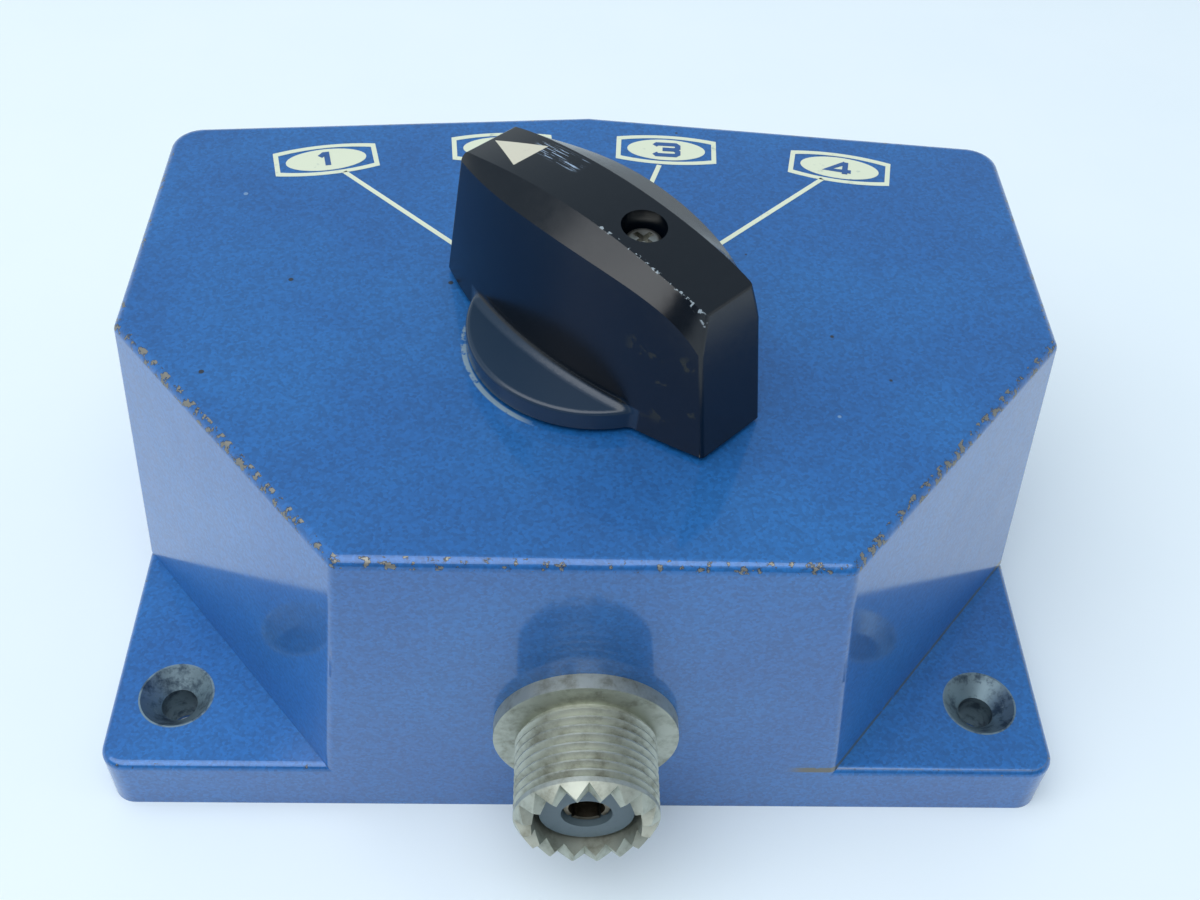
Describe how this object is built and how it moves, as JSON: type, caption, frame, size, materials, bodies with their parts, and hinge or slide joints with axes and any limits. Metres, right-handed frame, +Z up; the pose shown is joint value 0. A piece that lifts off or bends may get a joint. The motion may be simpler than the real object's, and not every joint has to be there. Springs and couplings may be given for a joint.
{
  "type": "coaxial antenna switch",
  "caption": "Cast box with two mounting ears, a rotary bar knob on top, and threaded coaxial sockets on its front and rear faces for switching one line to one of several.",
  "frame": {"origin": "middle of the underside of the whole object's box", "axes": "+X to the right seen from the common connector, +Y towards the four ports, +Z up out of the printed face"},
  "size_m": [0.1134, 0.102, 0.0678],
  "materials": {
    "housing_paint": "blue paint with a fine metal flake on cast aluminium",
    "knob_moulding": "glossy moulded phenolic",
    "white_paint": "white filled mark",
    "zinc_plate": "brushed aluminium sheet",
    "insulator": "moulded insulator",
    "nickel_plate": "dull nickel plate on turned brass",
    "contact_plate": "silver plate on turned brass",
    "screw_steel": "zinc plated steel",
    "brass": "turned brass",
    "spring_steel": "ground steel",
    "copper_strip": "silver plated copper strip"
  },
  "bodies": {
    "case": {"bottom_cover": "zinc_plate", "common_contact": "contact_plate", "common_insulator": "insulator", "common_nut": "screw_steel", "common_shell": "nickel_plate", "common_strip": "copper_strip", "common_washer": "screw_steel", "cover_screws": "screw_steel", "detent_spring": "spring_steel", "detent_spring_screw": "screw_steel", "housing": "housing_paint", "port_1_contact": "contact_plate", "port_1_insulator": "insulator", "port_1_nut": "screw_steel", "port_1_shell": "nickel_plate", "port_1_washer": "screw_steel", "port_2_contact": "contact_plate", "port_2_insulator": "insulator", "port_2_nut": "screw_steel", "port_2_shell": "nickel_plate", "port_2_washer": "screw_steel", "port_3_contact": "contact_plate", "port_3_insulator": "insulator", "port_3_nut": "screw_steel", "port_3_shell": "nickel_plate", "port_3_washer": "screw_steel", "port_4_contact": "contact_plate", "port_4_insulator": "insulator", "port_4_nut": "screw_steel", "port_4_shell": "nickel_plate", "port_4_washer": "screw_steel", "port_strip_1": "copper_strip", "port_strip_2": "copper_strip", "port_strip_3": "copper_strip", "port_strip_4": "copper_strip", "spindle_bushing": "brass", "stop_pin": "screw_steel"},
    "rotor": {"knob": "knob_moulding", "pointer_mark": "white_paint", "knob_screw": "screw_steel", "knob_hub": "brass", "hub_set_screw": "screw_steel", "spindle": "spring_steel", "ground_plate": "copper_strip", "rotor_insulator": "insulator", "rotor_pin": "screw_steel", "rotor_blade": "copper_strip", "blade_stud": "brass", "stud_clip": "screw_steel", "thrust_washer": "screw_steel", "spindle_clip": "screw_steel", "detent_wheel": "brass"}
  },
  "joints": [
    {"name": "knob_turn", "type": "hinge", "parent": "case", "child": "rotor", "pos_m": [0, -0.00592, 0.0472], "axis": [0, 0, 1], "range_deg": [-90, 0], "deforming": ["detent_spring"]}
  ]
}
